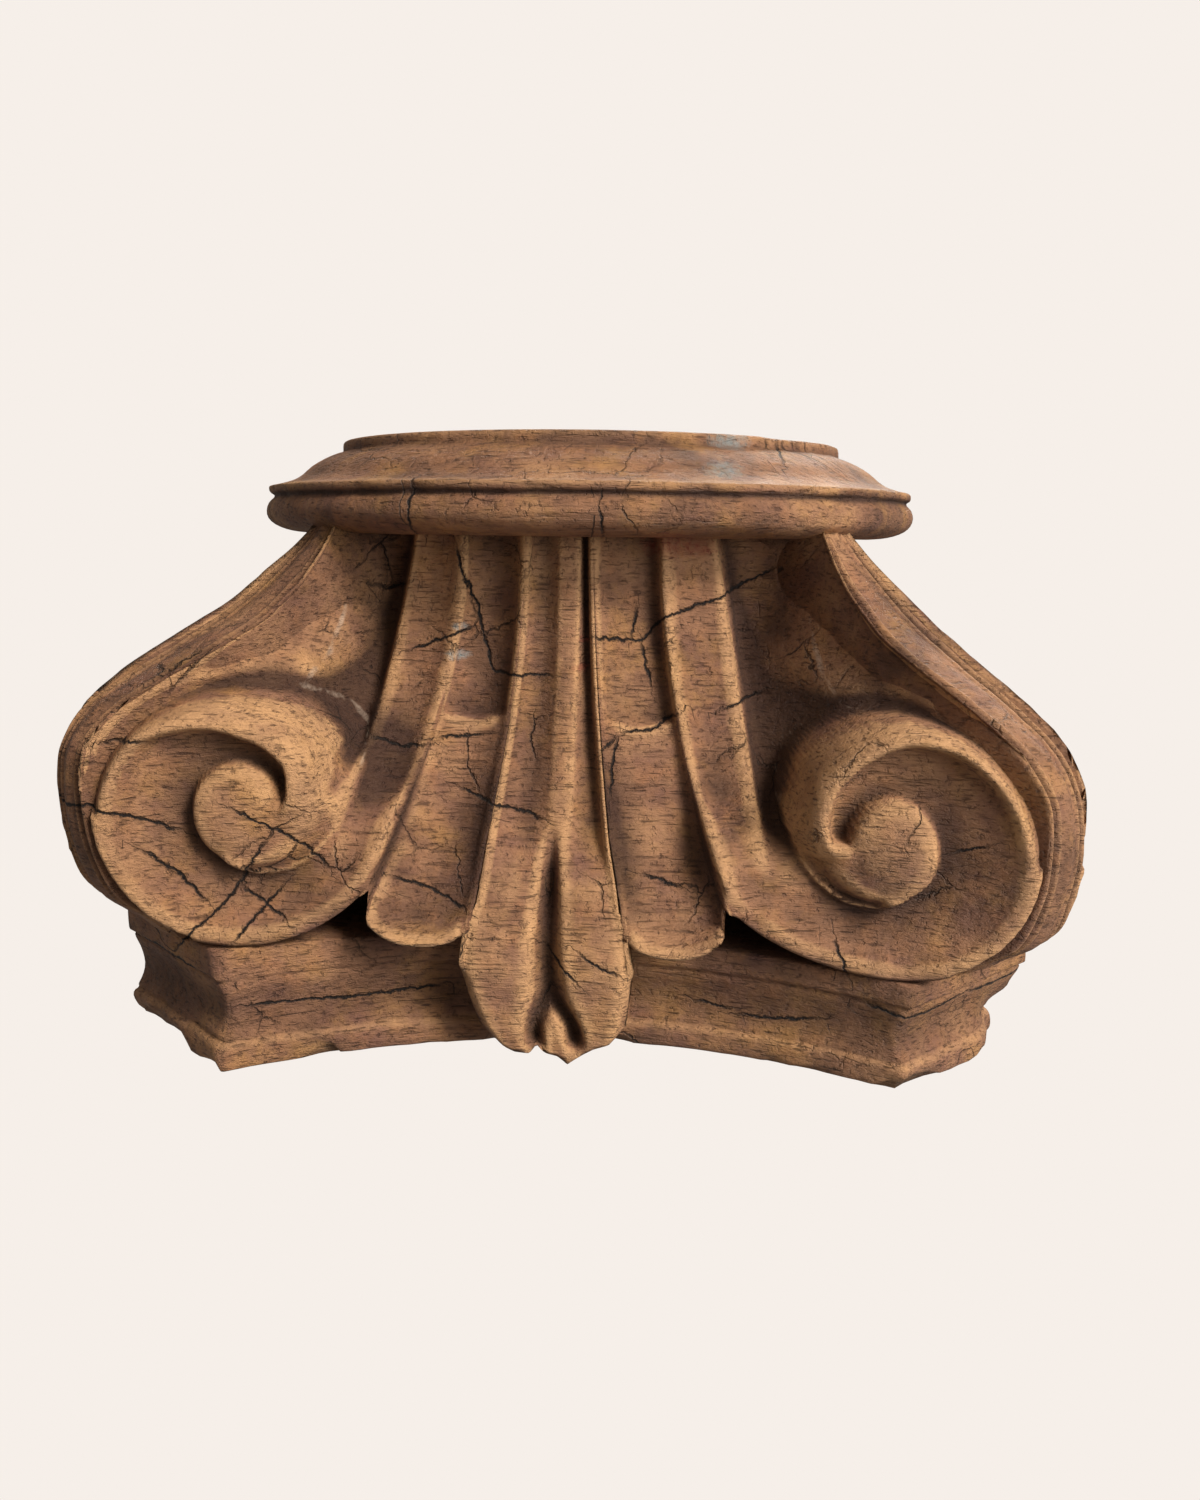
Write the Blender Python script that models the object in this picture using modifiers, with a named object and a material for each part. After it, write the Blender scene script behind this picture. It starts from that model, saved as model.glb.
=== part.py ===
"""Carved timber column base: an upturned leaf-and-volute capital, cut from one block.

Axis on +Z, underside on z = 0, one carved face towards -Y, and the same carving on all four sides.
Lengths below are millimetres and become metres when a mesh is made.
"""
import math

import bmesh
import bpy
import numpy as np

for old in list(bpy.data.objects):
    bpy.data.objects.remove(old, do_unlink=True)

MM = 0.001
NAME = "column_base"
ROOT2 = math.sqrt(2.0)

# turned disc: seat, cyma, lip, torus
HEIGHT = 302.5
SEAT_R = 147.0
SEAT_FILLET = 6.0
LIP_R = 189.5
LIP_TOP = 276.5
LIP_H = 5.0
TORUS_R = 191.5
TORUS_TOP = 271.5
TORUS_BOTTOM = 251.0
TORUS_FOOT_R = 167.0
DISC_STEPS = 40

# abacus: square block with hollowed sides and cut corners
ABACUS_TOP = 54.5
ABACUS_MID = 182.0
ARRIS_X = 160.5
ARRIS_W = 231.0
FASCIA_BOTTOM = 42.0
FILLET_TOP = 13.0
GROOVE = 3.0
COVE = 6.5
ABACUS_STEPS = 8

# bell: crest line at the middle of a side, and the ridges counted out from the middle
NECK_Z = 250.0
FOOT_Z = 60.0
NECK_W = 150.0
FOOT_W = 212.0
FLARE = 1.9
NECK_CURVE = -1.0 / 300.0
FOOT_CURVE = 1.0 / 420.0
RIDGE_INNER = (17.0, 38.0, 1.8)
RIDGE_MIDDLE = (51.0, 96.0, 1.9)
RIDGE_OUTER = (75.0, 107.6, 1.0)
RIB_HALF = 6.5
CREST_HALF = 2.6
FLUTE = 9.0
LEDGE_Z = 163.0
TURN = math.radians(-2.4)

# centre leaf and the two tongues beside it
LEAF_TOP = 112.0
LEAF_HALF = 42.0
LEAF_TIP_HALF = 27.0
LEAF_TIP_Z = 1.0
LEAF_EDGE_Z = 12.0
LEAF_VALLEY = 9.0
TONGUE_Z = 52.0

# corner stem: outer line (distance along the diagonal, height) and half width
STEM_LINE = ((180, 262), (186, 252), (196, 240), (211, 225), (229, 210), (254, 195), (281, 180), (304, 165), (317, 150),
             (321.5, 135), (322, 115), (316, 90), (307, 75), (290, 62), (274, 50))
STEM_HALF = ((6.6, 262), (11, 252), (20, 228), (25, 205), (23, 180), (19, 150), (19, 110), (24, 70), (28, 50))
CREASE_LINE = ((174, 262), (176, 252), (178, 238), (184, 210), (200, 190), (214, 178), (220, 150), (220, 50))
CREASE_HALF = ((6, 262), (7, 252), (9, 238), (18, 210), (30, 184), (34, 165), (34, 50))
STEM_GROOVE = 5.0

# volute: centre, eye, coil
EYE_X = 150.0
EYE_Z = 117.0
EYE_RX = 18.5
EYE_RZ = 22.0
COIL_R = 63.0
COIL_GROW = 7.0
FACE_NEAR = 210.0
FACE_FAR = 239.0
FACE_X0 = 90.0
FACE_X1 = 214.0
CHANNEL = 8.0
BODY_RISE = 4.0
BODY_DROP = 14.0
BACK_W = 158.0
RAYS = 16


def curve_at(line, z):
    """Distance read from a line of (distance, height) pairs that falls, by straight steps, at height z."""
    pairs = sorted((h, d) for d, h in line)
    return float(np.interp(z, [h for h, _ in pairs], [d for _, d in pairs]))


def smooth(t):
    """0 below 0, 1 above 1, and an S between."""
    t = min(max(t, 0.0), 1.0)
    return t * t * (3.0 - 2.0 * t)


def ridge_x(size, z):
    """Distance of a ridge from the middle of the side: neck value, growing as a power of the way down."""
    neck, foot, power = size
    way = max(NECK_Z - z, 0.0) / (NECK_Z - FOOT_Z)
    return neck + (foot - neck) * way ** power


def crest_w(x, z):
    """Depth of the crest surface: the flare at the middle, plus a plan curve going from round to hollow."""
    way = min(max(NECK_Z - z, 0.0) / (NECK_Z - FOOT_Z), 1.25)
    bend = NECK_CURVE + (FOOT_CURVE - NECK_CURVE) * smooth(way)
    return NECK_W + (FOOT_W - NECK_W) * min(way, 1.0) ** FLARE + bend * x * x


def make_object(name, verts, faces):
    """Mesh object from millimetre points and faces, normals turned outward."""
    mesh = bpy.data.meshes.new(name)
    mesh.from_pydata([[c * MM for c in v] for v in verts], [], faces)
    bm = bmesh.new()
    bm.from_mesh(mesh)
    bmesh.ops.recalc_face_normals(bm, faces=bm.faces)
    bm.to_mesh(mesh)
    bm.free()
    ob = bpy.data.objects.new(name, mesh)
    bpy.context.scene.collection.objects.link(ob)
    return ob


def skin(rings, top, bottom):
    """Points and faces of closed rings laid one above another, ended by a fan to a point at each end."""
    n = len(rings[0])
    verts = [p for ring in rings for p in ring] + [top, bottom]
    faces = []
    for i in range(len(rings) - 1):
        for j in range(n):
            k = (j + 1) % n
            faces.append((i * n + j, i * n + k, (i + 1) * n + k, (i + 1) * n + j))
    last = (len(rings) - 1) * n
    for j in range(n):
        k = (j + 1) % n
        faces.append((k, j, len(verts) - 2))
        faces.append((last + j, last + k, len(verts) - 1))
    return verts, faces


def side_point(side, x, w, z):
    """Point of side 0 to 3: x to the right of the side's middle and w out from the axis."""
    c = round(math.cos(side * math.pi / 2))
    s = round(math.sin(side * math.pi / 2))
    return (x * c + w * s, x * s - w * c, z)


# turned disc, a profile swept about the axis
def disc_profile():
    """Profile from the seat's edge down the outer side: fillet, cyma reversa, lip, quirk, torus."""
    line = [(0.0, HEIGHT), (SEAT_R, HEIGHT), (SEAT_R, HEIGHT - SEAT_FILLET)]
    top = HEIGHT - SEAT_FILLET
    for i in range(1, 6):
        t = i / 6
        swing = 0.11 * math.sin(2 * math.pi * t)
        line.append((SEAT_R + (LIP_R - SEAT_R) * (t + 0.35 * swing), top - (top - LIP_TOP) * (t - swing)))
    line += [(LIP_R, LIP_TOP), (LIP_R, LIP_TOP - LIP_H + 1.5), (LIP_R - 3.0, TORUS_TOP)]
    for i in range(1, 6):
        a = math.pi / 2 * (i / 5) ** 0.9
        line.append((TORUS_FOOT_R + (TORUS_R - TORUS_FOOT_R) * math.cos(a),
                     TORUS_BOTTOM + (TORUS_TOP - 4.0 - TORUS_BOTTOM) * (1 - math.sin(a))))
    line.append((0.0, TORUS_BOTTOM))
    return line


def build_disc():
    """The disc as a Screw of its profile."""
    mesh = bpy.data.meshes.new("disc")
    points = [(r * MM, 0.0, z * MM) for r, z in disc_profile()]
    mesh.from_pydata(points, [(i, i + 1) for i in range(len(points) - 1)], [])
    ob = bpy.data.objects.new("disc", mesh)
    bpy.context.scene.collection.objects.link(ob)
    screw = ob.modifiers.new("turn", "SCREW")
    screw.axis = "Z"
    screw.steps = DISC_STEPS
    screw.render_steps = DISC_STEPS
    screw.use_merge_vertices = True
    screw.merge_threshold = 0.0001
    screw.use_smooth_shade = True
    bpy.context.view_layer.objects.active = ob
    bpy.ops.object.modifier_apply(modifier=screw.name)
    return ob


# abacus
def build_abacus():
    """Moulded block: the plan outline repeated down the profile, drawn in by the profile's depth."""
    outline = []
    for side in range(4):
        for i in range(ABACUS_STEPS + 1):
            x = -ARRIS_X + 2 * ARRIS_X * i / ABACUS_STEPS
            outline.append((side, x, ABACUS_MID + (ARRIS_W - ABACUS_MID) * (x / ARRIS_X) ** 2))
    levels = [(ABACUS_TOP, 0.0), (FASCIA_BOTTOM + GROOVE, 0.0), (FASCIA_BOTTOM, GROOVE)]
    cove_top = FASCIA_BOTTOM - 2.0
    for i in range(5):
        t = i / 4
        levels.append((cove_top + (FILLET_TOP + 1.5 - cove_top) * t, 1.0 + COVE * math.sin(math.pi * t) ** 0.8))
    levels += [(FILLET_TOP, GROOVE), (FILLET_TOP - GROOVE, 0.5), (0.0, 0.5)]
    rings = []
    for z, drawn in levels:
        ring = []
        for side, x, w in outline:
            px, py, _ = side_point(side, x, w, z)
            k = 1.0 - drawn / math.hypot(px, py)
            ring.append((px * k, py * k, z))
        rings.append(ring)
    return make_object("abacus", *skin(rings, (0, 0, ABACUS_TOP), (0, 0, 0)))


# bell
def half_columns(z, low):
    """Plan points of half a side at height z, from the middle out to the corner: (x, depth below the crest)."""
    a, b, c = ridge_x(RIDGE_OUTER, z), ridge_x(RIDGE_MIDDLE, z), ridge_x(RIDGE_INNER, z)
    leaf = smooth((LEAF_TOP - z) / 40.0)
    flute = FLUTE * smooth((NECK_Z + 6.0 - z) / 12.0)
    filled = flute * (0.45 if z < LEDGE_Z - 1.0 else 1.0)
    spread = LEAF_HALF if z > 45.0 else LEAF_TIP_HALF + (LEAF_HALF - LEAF_TIP_HALF) * max(z, 0.0) / 45.0
    edge = c + (spread - c) * smooth((75.0 - z) / 20.0)
    lobe = 0.45 * edge
    return [
        (0.0, LEAF_VALLEY * leaf),
        (RIB_HALF + (lobe - RIB_HALF) * leaf, 1.0 - 2.0 * leaf),
        (RIB_HALF + 3.5 + (lobe * 1.5 - RIB_HALF - 3.5) * leaf, (0.8 * flute) * (1 - leaf) + leaf),
        (edge - CREST_HALF, 0.5 + 1.5 * leaf),
        (edge + CREST_HALF * (1 - leaf), 0.5 + 5.0 * leaf),
        (c + CREST_HALF + 0.25 * (b - c), filled),
        (c + 0.72 * (b - c), filled),
        (b - CREST_HALF, 0.0),
        (b + CREST_HALF, 1.0),
        (0.5 * (a + b), flute),
        (a - 1.5, 1.0),
        (a + 3.0, 2.5),
        (a + 14.0, 1.5 * flute),
    ]


def low_edge(j):
    """Height where column j of a half side ends below: leaf, tongue, then the part hidden by the volute."""
    if j <= 4:
        return LEAF_TIP_Z + (LEAF_EDGE_Z - LEAF_TIP_Z) * min(j / 3.0, 1.0)
    if j <= 8:
        return TONGUE_Z + (3.0, 7.0, 19.0, 24.0)[j - 5]
    return TONGUE_Z - 1.0


def build_bell():
    """Bell with ribs, flutes, tongues and leaf: rings whose points follow the ridges down the block."""
    upper = [264.0, 250.0, 228.0, 204.0, 180.0, LEDGE_Z + 2.5, LEDGE_Z - 2.5, 138.0, LEAF_TOP]
    lower = [0.3, 0.55, 0.8, 1.0]
    rings = []
    for v in upper + lower + [None]:
        ring = []
        for side in range(4):
            for sign in (-1, 1):
                half = []
                for j in range(14):
                    low = low_edge(j)
                    if v is None:
                        z = low + 1.0
                    else:
                        z = v if v > 1.0 else LEAF_TOP + (low - LEAF_TOP) * v
                    if j == 13:
                        d = curve_at(CREASE_LINE, z) - (7.3 if v is not None else 40.0)
                        half.append((d / ROOT2 * sign, d / ROOT2, z))
                        continue
                    x, depth = half_columns(z, low)[j]
                    w = crest_w(x, z) - depth
                    if z < 60.0 and j <= 4:
                        w = crest_w(x, 60.0) - depth - 0.06 * (60.0 - z)
                    if j >= 8:
                        w = min(w, face_w(x) - CHANNEL + 30.0 * smooth((z - 95.0) / 40.0))
                    if j >= 9 and z < 84.0:
                        back = ABACUS_MID + (ARRIS_W - ABACUS_MID) * (x / ARRIS_X) ** 2 - 1.2
                        w = back + max(w - back, 0.0) * smooth((z - 62.0) / 22.0)
                    if v is None:
                        w = NECK_W + 10.0
                    half.append((x * sign, w, z))
                if sign < 0:
                    ring += [side_point(side, *p) for p in half[:0:-1]]
                else:
                    ring += [side_point(side, *p) for p in half[:13]]
        rings.append(ring)
    verts, faces = skin(rings, (0, 0, 264.0), (0, 0, 30.0))
    turned = []
    for x, y, z in verts:
        a = TURN * smooth((z + 30.0) / 90.0)
        near = math.hypot(x, y)
        corner = abs(abs(math.atan2(abs(y), abs(x))) - math.pi / 4) < 0.03
        if corner or near < 1.0:
            turned.append((x, y, z))
        else:
            turned.append((x * math.cos(a) - y * math.sin(a), x * math.sin(a) + y * math.cos(a), z))
    return make_object("bell", turned, faces)


# corner stems
def build_stem(corner):
    """Stem on a diagonal: at each height a ridge, groove, bead and rounded band, and sides running into the bell."""
    rings = []
    for z in (262, 246, 229, 211, 193, 176, 161, 145, 120, 95, 79, 65, 50):
        d = curve_at(STEM_LINE, z)
        half = curve_at(STEM_HALF, z)
        crease = curve_at(CREASE_LINE, z)
        open_ = curve_at(CREASE_HALF, z)
        groove = STEM_GROOVE * smooth((half - 8.0) / 10.0)
        across = [(-half, 0.0), (-0.74 * half, groove), (-0.45 * half, 1.0), (0.0, 0.0)]
        line = [(60.0, -20.0), (crease - 18.0, -open_), (crease, -open_)] + [(d - g, t) for t, g in across]
        line += [(p, -t) for p, t in line[-2::-1]]
        a = -math.pi / 4 + corner * math.pi / 2
        ring = []
        for p, t in line:
            ring.append((p * math.cos(a) - t * math.sin(a), p * math.sin(a) + t * math.cos(a), z))
        rings.append(ring)
    a = -math.pi / 4 + corner * math.pi / 2
    mid = (150 * math.cos(a), 150 * math.sin(a))
    return make_object("stem", *skin(rings, (*mid, 262), (*mid, 50)))


# volutes
def face_w(x):
    """Depth of the volute's face datum, coming forward towards the corner."""
    t = min(max((abs(x) - FACE_X0) / (FACE_X1 - FACE_X0), 0.0), 1.3)
    return FACE_NEAR + (FACE_FAR - FACE_NEAR) * t


def eye_r(a):
    """Radius of the oval eye in direction a."""
    return EYE_RX * EYE_RZ / math.hypot(EYE_RZ * math.cos(a), EYE_RX * math.sin(a))


def coil_lines(deg):
    """Inner and outer line of the coil in a direction: the ridge winding in to the eye, the rim or the crease."""
    rim = COIL_R - 2.0 + COIL_GROW * smooth((deg + 75.0) / 60.0) if deg < 0 else COIL_R - 3.0
    crease = 21.0 + 39.0 * smooth((deg + 80.0) / 115.0)
    if deg >= 5.0:
        ridge = EYE_RX + (COIL_R - EYE_RX) * smooth(deg / 165.0) ** 1.2
        return ridge, min(crease, COIL_R - 3.0)
    if deg >= -80.0:
        return crease, rim
    return 0.5 * (EYE_RZ + rim), rim


def coil_height(rho, deg):
    """Height over the face datum: button eye, hollow channel, raised body between ridge and crease, rim."""
    eye = eye_r(math.radians(deg))
    inner, outer = coil_lines(deg)
    if rho < eye:
        return 1.5 - 2.0 * (rho / eye) ** 2
    if deg >= 5.0:
        if rho < inner:
            return -CHANNEL
        t = min((rho - inner) / (outer - inner), 1.0)
        return BODY_RISE - (BODY_RISE + BODY_DROP * (1 - 0.5 * smooth((deg - 30) / 40))) * t ** 1.4
    if deg >= -80.0 and rho < inner:
        t = (rho - eye) / (inner - eye)
        fade = smooth((deg + 80.0) / 50.0)
        return -CHANNEL + (CHANNEL + BODY_RISE * fade) * fade * (1 - t ** 1.4)
    if rho > outer - 4.0:
        return 0.0
    start = inner if deg >= -80.0 else eye
    t = (rho - start) / max(outer - 4.0 - start, 1.0)
    return -CHANNEL * (0.75 + 0.5 * math.sin(math.pi * min(t, 1.0))) * (1.0 - smooth((t - 0.7) / 0.3))


def build_volute(side, sign):
    """Volute as a disc of rings about the eye, each point raised by the coil's height, closed behind."""
    rings = []
    rows = []
    for i in range(RAYS):
        deg = 150.0 - (i + 0.5) * 360.0 / RAYS
        eye = eye_r(math.radians(deg))
        inner, outer = coil_lines(deg)
        inner = min(max(inner, eye + 4.0), outer - 10.0)
        rows.append((deg, [eye - 0.5, eye + 1.5, inner - 0.5, inner + 1.5,
                           0.5 * (inner + outer - 4.0), outer - 5.0, outer - 3.0, outer]))
    for k in range(8):
        ring = []
        for deg, rhos in rows:
            rho = rhos[k]
            x = EYE_X - rho * math.cos(math.radians(deg))
            z = EYE_Z + rho * math.sin(math.radians(deg))
            h = coil_height(rho, deg) if k < 7 else coil_height(rho - 1.0, deg) - 2.0
            ring.append(side_point(side, sign * x, face_w(x) + h, z))
        rings.append(ring)
    ring = []
    for deg, rhos in rows:
        x = EYE_X - (rhos[7] - 2.0) * math.cos(math.radians(deg))
        z = EYE_Z + (rhos[7] - 2.0) * math.sin(math.radians(deg))
        ring.append(side_point(side, sign * x, BACK_W, z))
    rings.append(ring)
    front = side_point(side, sign * EYE_X, face_w(EYE_X) + 1.5, EYE_Z)
    back = side_point(side, sign * EYE_X, BACK_W, EYE_Z)
    return make_object("volute", *skin(rings, front, back))


def join(base, others):
    """One Boolean union of every object of a collection into base."""
    group = bpy.data.collections.new("union")
    for ob in others:
        group.objects.link(ob)
    union = base.modifiers.new("union", "BOOLEAN")
    union.operation = "UNION"
    union.solver = "EXACT"
    union.operand_type = "COLLECTION"
    union.collection = group
    bpy.context.view_layer.objects.active = base
    bpy.ops.object.modifier_apply(modifier=union.name)
    for ob in others:
        bpy.data.objects.remove(ob, do_unlink=True)
    bpy.data.collections.remove(group)


wood = bpy.data.materials.new("weathered_teak")
wood.use_nodes = True
shader = wood.node_tree.nodes["Principled BSDF"]
shader.inputs["Base Color"].default_value = (0.235, 0.125, 0.062, 1.0)
shader.inputs["Roughness"].default_value = 0.72

block = build_bell()
parts = [build_abacus(), build_disc()]
parts += [build_stem(c) for c in range(4)]
parts += [build_volute(side, sign) for side in range(4) for sign in (-1, 1)]
join(block, parts)

# one body, with flat seat and flat underside
block.name = NAME
block.data.name = NAME
block.data.materials.clear()
block.data.materials.append(wood)
for poly in block.data.polygons:
    poly.use_smooth = True
block.data.set_sharp_from_angle(angle=math.radians(32.0))
home = bpy.data.collections.new(NAME)
bpy.context.scene.collection.children.link(home)
home.objects.link(block)
bpy.context.scene.collection.objects.unlink(block)
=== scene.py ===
import math

import bpy
import mathutils
import numpy as np
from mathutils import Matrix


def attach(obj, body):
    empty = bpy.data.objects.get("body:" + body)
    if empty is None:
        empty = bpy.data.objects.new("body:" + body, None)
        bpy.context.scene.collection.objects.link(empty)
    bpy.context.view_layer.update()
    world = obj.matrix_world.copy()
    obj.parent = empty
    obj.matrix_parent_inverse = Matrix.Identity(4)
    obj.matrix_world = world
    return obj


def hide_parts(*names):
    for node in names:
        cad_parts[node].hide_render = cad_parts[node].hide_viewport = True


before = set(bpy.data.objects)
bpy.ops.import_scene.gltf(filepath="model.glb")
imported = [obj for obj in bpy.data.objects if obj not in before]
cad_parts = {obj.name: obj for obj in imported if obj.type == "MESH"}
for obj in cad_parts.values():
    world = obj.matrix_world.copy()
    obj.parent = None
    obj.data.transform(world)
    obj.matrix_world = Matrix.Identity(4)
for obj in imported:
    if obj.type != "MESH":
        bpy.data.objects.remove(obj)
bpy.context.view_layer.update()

# The block: one piece of dense tropical hardwood, carved all over, then weathered outdoors for decades.
# Its surfaces are worked out in millimetres, a side at a time: x to the right, w out from the axis, z up.
# Each shell is a closed grid, and the shells pass into each other inside the wood.

NECK, FOOT = 250.0, 60.0
NECK_OUT, FOOT_OUT = 150.0, 212.0
TURN = 0.0419
INNER_RIDGE = (17.0, 38.0, 1.8)
MIDDLE_RIDGE = (51.0, 96.0, 1.9)
OUTER_RIDGE = (75.0, 107.6, 1.0)
LEDGE = 163.0
EYE_X, EYE_Z, EYE_WIDE, EYE_TALL = 150.0, 118.0, 18.5, 22.0
ROLL_OUT, ROLL_DOWN = 65.7, 61.0
STEM_AT = ((262, 180), (252, 186), (240, 196), (225, 211), (210, 229), (195, 254), (180, 281), (165, 304),
           (150, 316), (135, 320), (115, 320.5), (90, 315), (75, 307), (62, 290), (50, 274))
STEM_WIDE = ((50, 24), (70, 20), (110, 15), (150, 15), (180, 20), (205, 24), (228, 20), (252, 11), (262, 7))
CREASE_AT = ((50, 220), (150, 220), (178, 214), (190, 200), (210, 184), (238, 178), (252, 176), (262, 174))
CREASE_WIDE = ((50, 34), (165, 34), (184, 30), (210, 18), (238, 9), (252, 7), (262, 6))


def smooth(start, end, value):
    """S-curve: 0 at start, 1 at end, 3t^2 - 2t^3 between, flat outside."""
    t = np.clip((value - start) / (end - start), 0.0, 1.0)
    return t * t * (3.0 - 2.0 * t)


def hump(value, middle, half):
    """1 at the middle, falling as (1 - d^2)^2 to 0 at half a width either side."""
    return np.clip(1.0 - ((value - middle) / half) ** 2, 0.0, 1.0) ** 2


def mix(a, b, share):
    """a where share is 0, b where it is 1, straight between."""
    return a + (b - a) * share


def table(value, pairs):
    """Amount read from a short table of (place, amount) pairs by straight steps."""
    places, amounts = zip(*sorted(pairs))
    return np.interp(value, places, amounts)


def cell(i, j, k, seed):
    """A fixed number from -1 to 1 for each whole cell: indices times large primes, mixed and cut to 32 bits."""
    n = (i * 374761393 + j * 668265263 + k * 1103515245 + seed * 1274126177) & 0xFFFFFFFF
    n = ((n ^ (n >> 13)) * 1274126177) & 0xFFFFFFFF
    n = n ^ (n >> 16)
    return n / 2147483648.0 - 1.0


def wander(x, y, z, size, seed=0):
    """Smooth unevenness from -1 to 1 with lumps of one size: cell numbers eased between by 3t^2 - 2t^3."""
    total = 0.0
    parts = []
    for value in (x, y, z):
        base = np.floor(value / size)
        t = value / size - base
        parts.append((base.astype(np.int64), t * t * (3.0 - 2.0 * t)))
    (i, u), (j, v), (k, w) = parts
    for a in (0, 1):
        for b in (0, 1):
            for c in (0, 1):
                weight = (u if a else 1 - u) * (v if b else 1 - v) * (w if c else 1 - w)
                total = total + weight * cell(i + a, j + b, k + c, seed)
    return total


def down(z):
    """Share of the way from the neck, 0, to the foot, 1."""
    return np.clip((NECK - z) / (NECK - FOOT), 0.0, 1.25)


def ridge(size, z):
    """Distance of a ridge from the middle of its side: neck + (foot - neck) * way^power."""
    neck, foot, power = size
    return neck + (foot - neck) * down(z) ** power


def crest(p, z):
    """Crest surface: a flare of way^1.9 at the middle, plus a plan curve going from round to hollow."""
    way = down(z)
    bend = -1 / 300 + (1 / 420 + 1 / 300) * smooth(0, 1, way)
    return NECK_OUT + (FOOT_OUT - NECK_OUT) * np.minimum(way, 1) ** 1.9 + bend * p * p


def middle_of(z):
    """Where the middle of a side lies at a height: the bell was cut 2.4 degrees turned against the block."""
    return -TURN * crest(0.0, z) * smooth(-30, 60, z)


def stem_ridge(z):
    """(x, w) of the stem's ridge: its distance along the diagonal less and plus its half width, over root two."""
    out, wide = table(z, STEM_AT), table(z, STEM_WIDE)
    return (out - wide) / math.sqrt(2), (out + wide) / math.sqrt(2)


def face(x):
    """Depth of the volute's face: a straight slope coming forward towards the corner."""
    return 210.0 + 29.0 * np.clip((np.abs(x) - 90.0) / 124.0, 0.0, 1.3)


def valley(t, peak, power):
    """0 at both ends and 1 at the peak: a quarter sine on each side of it, raised to a power."""
    return np.sin(math.pi / 2 * np.clip(np.minimum(t / peak, (1 - t) / (1 - peak)), 0, 1)) ** power


def reach_of(x):
    """How far the volute's rim reaches from the eye towards the bell, so that it runs into the middle ridge."""
    meet = middle_of(80.0) + np.sign(x) * ridge(MIDDLE_RIDGE, 80.0)
    return (EYE_X - np.abs(meet)) / 0.79


def tongue_low(p):
    """Height of a tongue's lower outline at a distance from the middle of the side."""
    away = np.clip(np.abs(p - 57.0) / 32.0, 0, 1)
    return 59.0 + 28.0 * (1 - np.sqrt(1 - 0.96 * away ** 2))


def leaf_edge(z):
    """Half width of the centre leaf below the ridges."""
    return table(z, ((0, 20), (8, 27), (20, 35), (35, 39), (50, 42), (60, 40.5), (75, 38.5)))


def volute_low(x):
    """Height of the volute's lower outline: quarter ellipses, z = eye - drop * sqrt(1 - (away / reach)^2)."""
    away = np.abs(x) - EYE_X
    wide = np.where(away < 0, reach_of(x), ROLL_OUT)
    return EYE_Z - ROLL_DOWN * np.sqrt(np.clip(1 - (away / wide) ** 2, 0, 1))


def bell(x, z):
    """Bell: crest surface less the depth of rib, grooves, flutes, tongues and leaf between the ridges."""
    q = x - middle_of(z)
    left = q < 0
    p = np.abs(q)
    inner = ridge(INNER_RIDGE, z) + np.where(left, 1.5, -1.5) * smooth(80, 110, z)
    middle, outer = ridge(MIDDLE_RIDGE, z), ridge(OUTER_RIDGE, z)
    leaf = smooth(116, 80, z)
    # rib, with a wide groove on its left and a tight one on its right
    lean = 3.5 * (1 - leaf)
    from_rib = np.abs(q - lean)
    room = np.maximum(inner - 2.0 + np.where(left, lean, -lean) - 5.0, 3.0)
    t = np.clip((from_rib - 5.0) / room, 0, 1)
    rib = 0.4 + 0.9 * np.clip(from_rib / 5.0, 0, 1) ** 2 + np.where(left, 5.5, 7.0) * valley(t, np.where(left, 0.5, 0.72), 0.9)
    # leaf: two lobes and a deep groove between them, closed by a bead near the tip
    edge = np.where(z > 75, inner, leaf_edge(z))
    lobe = np.clip(p / np.maximum(edge, 1.0), 0, 1)
    fork = smooth(38, 16, z)
    mouth = table(z, ((10, 10.0), (40, 9.0), (75, 6.5), (114, 3.0))) * (1 - 0.45 * fork)
    vee = 11.0 * np.clip(1 - np.abs(p - 9.5 * fork) / mouth, 0, 1) ** 0.8 * smooth(6, 13, z)
    lobes = 0.8 + 5.5 * (lobe - 0.55) ** 2 + vee + 5.0 * smooth(0.85, 1.0, lobe) * smooth(78, 62, z)
    depth = mix(rib, lobes, leaf)
    # flute between the inner and middle ridges, stepped at its ledge and ended like a spoon
    t = np.clip((p - inner) / (middle - inner), 0, 1)
    ledge = LEDGE - 4.0 * np.sin(math.pi * t)
    step = smooth(ledge + 1.0, ledge - 0.6, z)
    deep = mix(10.5, 4.6 + 5.5 * smooth(LEDGE - 6, 100, z), step) * smooth(NECK + 10, NECK, z)
    flute = 0.6 + deep * valley(t, np.where(left, 0.45, 0.78), 0.8) * smooth(0.0, 10.0, z - tongue_low(p))
    depth = np.where(p > inner, flute, depth)
    # shallow band between the middle and outer ridges, then the dark flute
    t = np.clip((p - middle) / (outer - middle), 0, 1)
    depth = np.where(p > middle, 0.5 + 3.8 * np.sin(math.pi * t), depth)
    depth = np.where(p > outer, 0.8 + 14.5 * smooth(88, 128, z) * smooth(-0.5, 8.0, p - outer), depth)
    # ridges rounded over
    lines = ((inner, 0.4, 3.6, smooth(62, 80, z)), (middle, 0.9, 4.2, 1.0), (outer, 0.4, 2.8, smooth(88, 125, z)))
    for line, high, half, kept in lines:
        crown = np.clip(1 - ((p - line) / half) ** 2, 0, 1) ** 0.7 * kept
        depth = mix(depth, -high, crown)
    eased = 58.0 + 9.0 * np.log1p(np.exp(np.clip((z - 58.0) / 9.0, -30, 30)))
    surface = np.where(p < edge + 1.0, crest(p, eased), crest(p, z))
    return surface - depth


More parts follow.
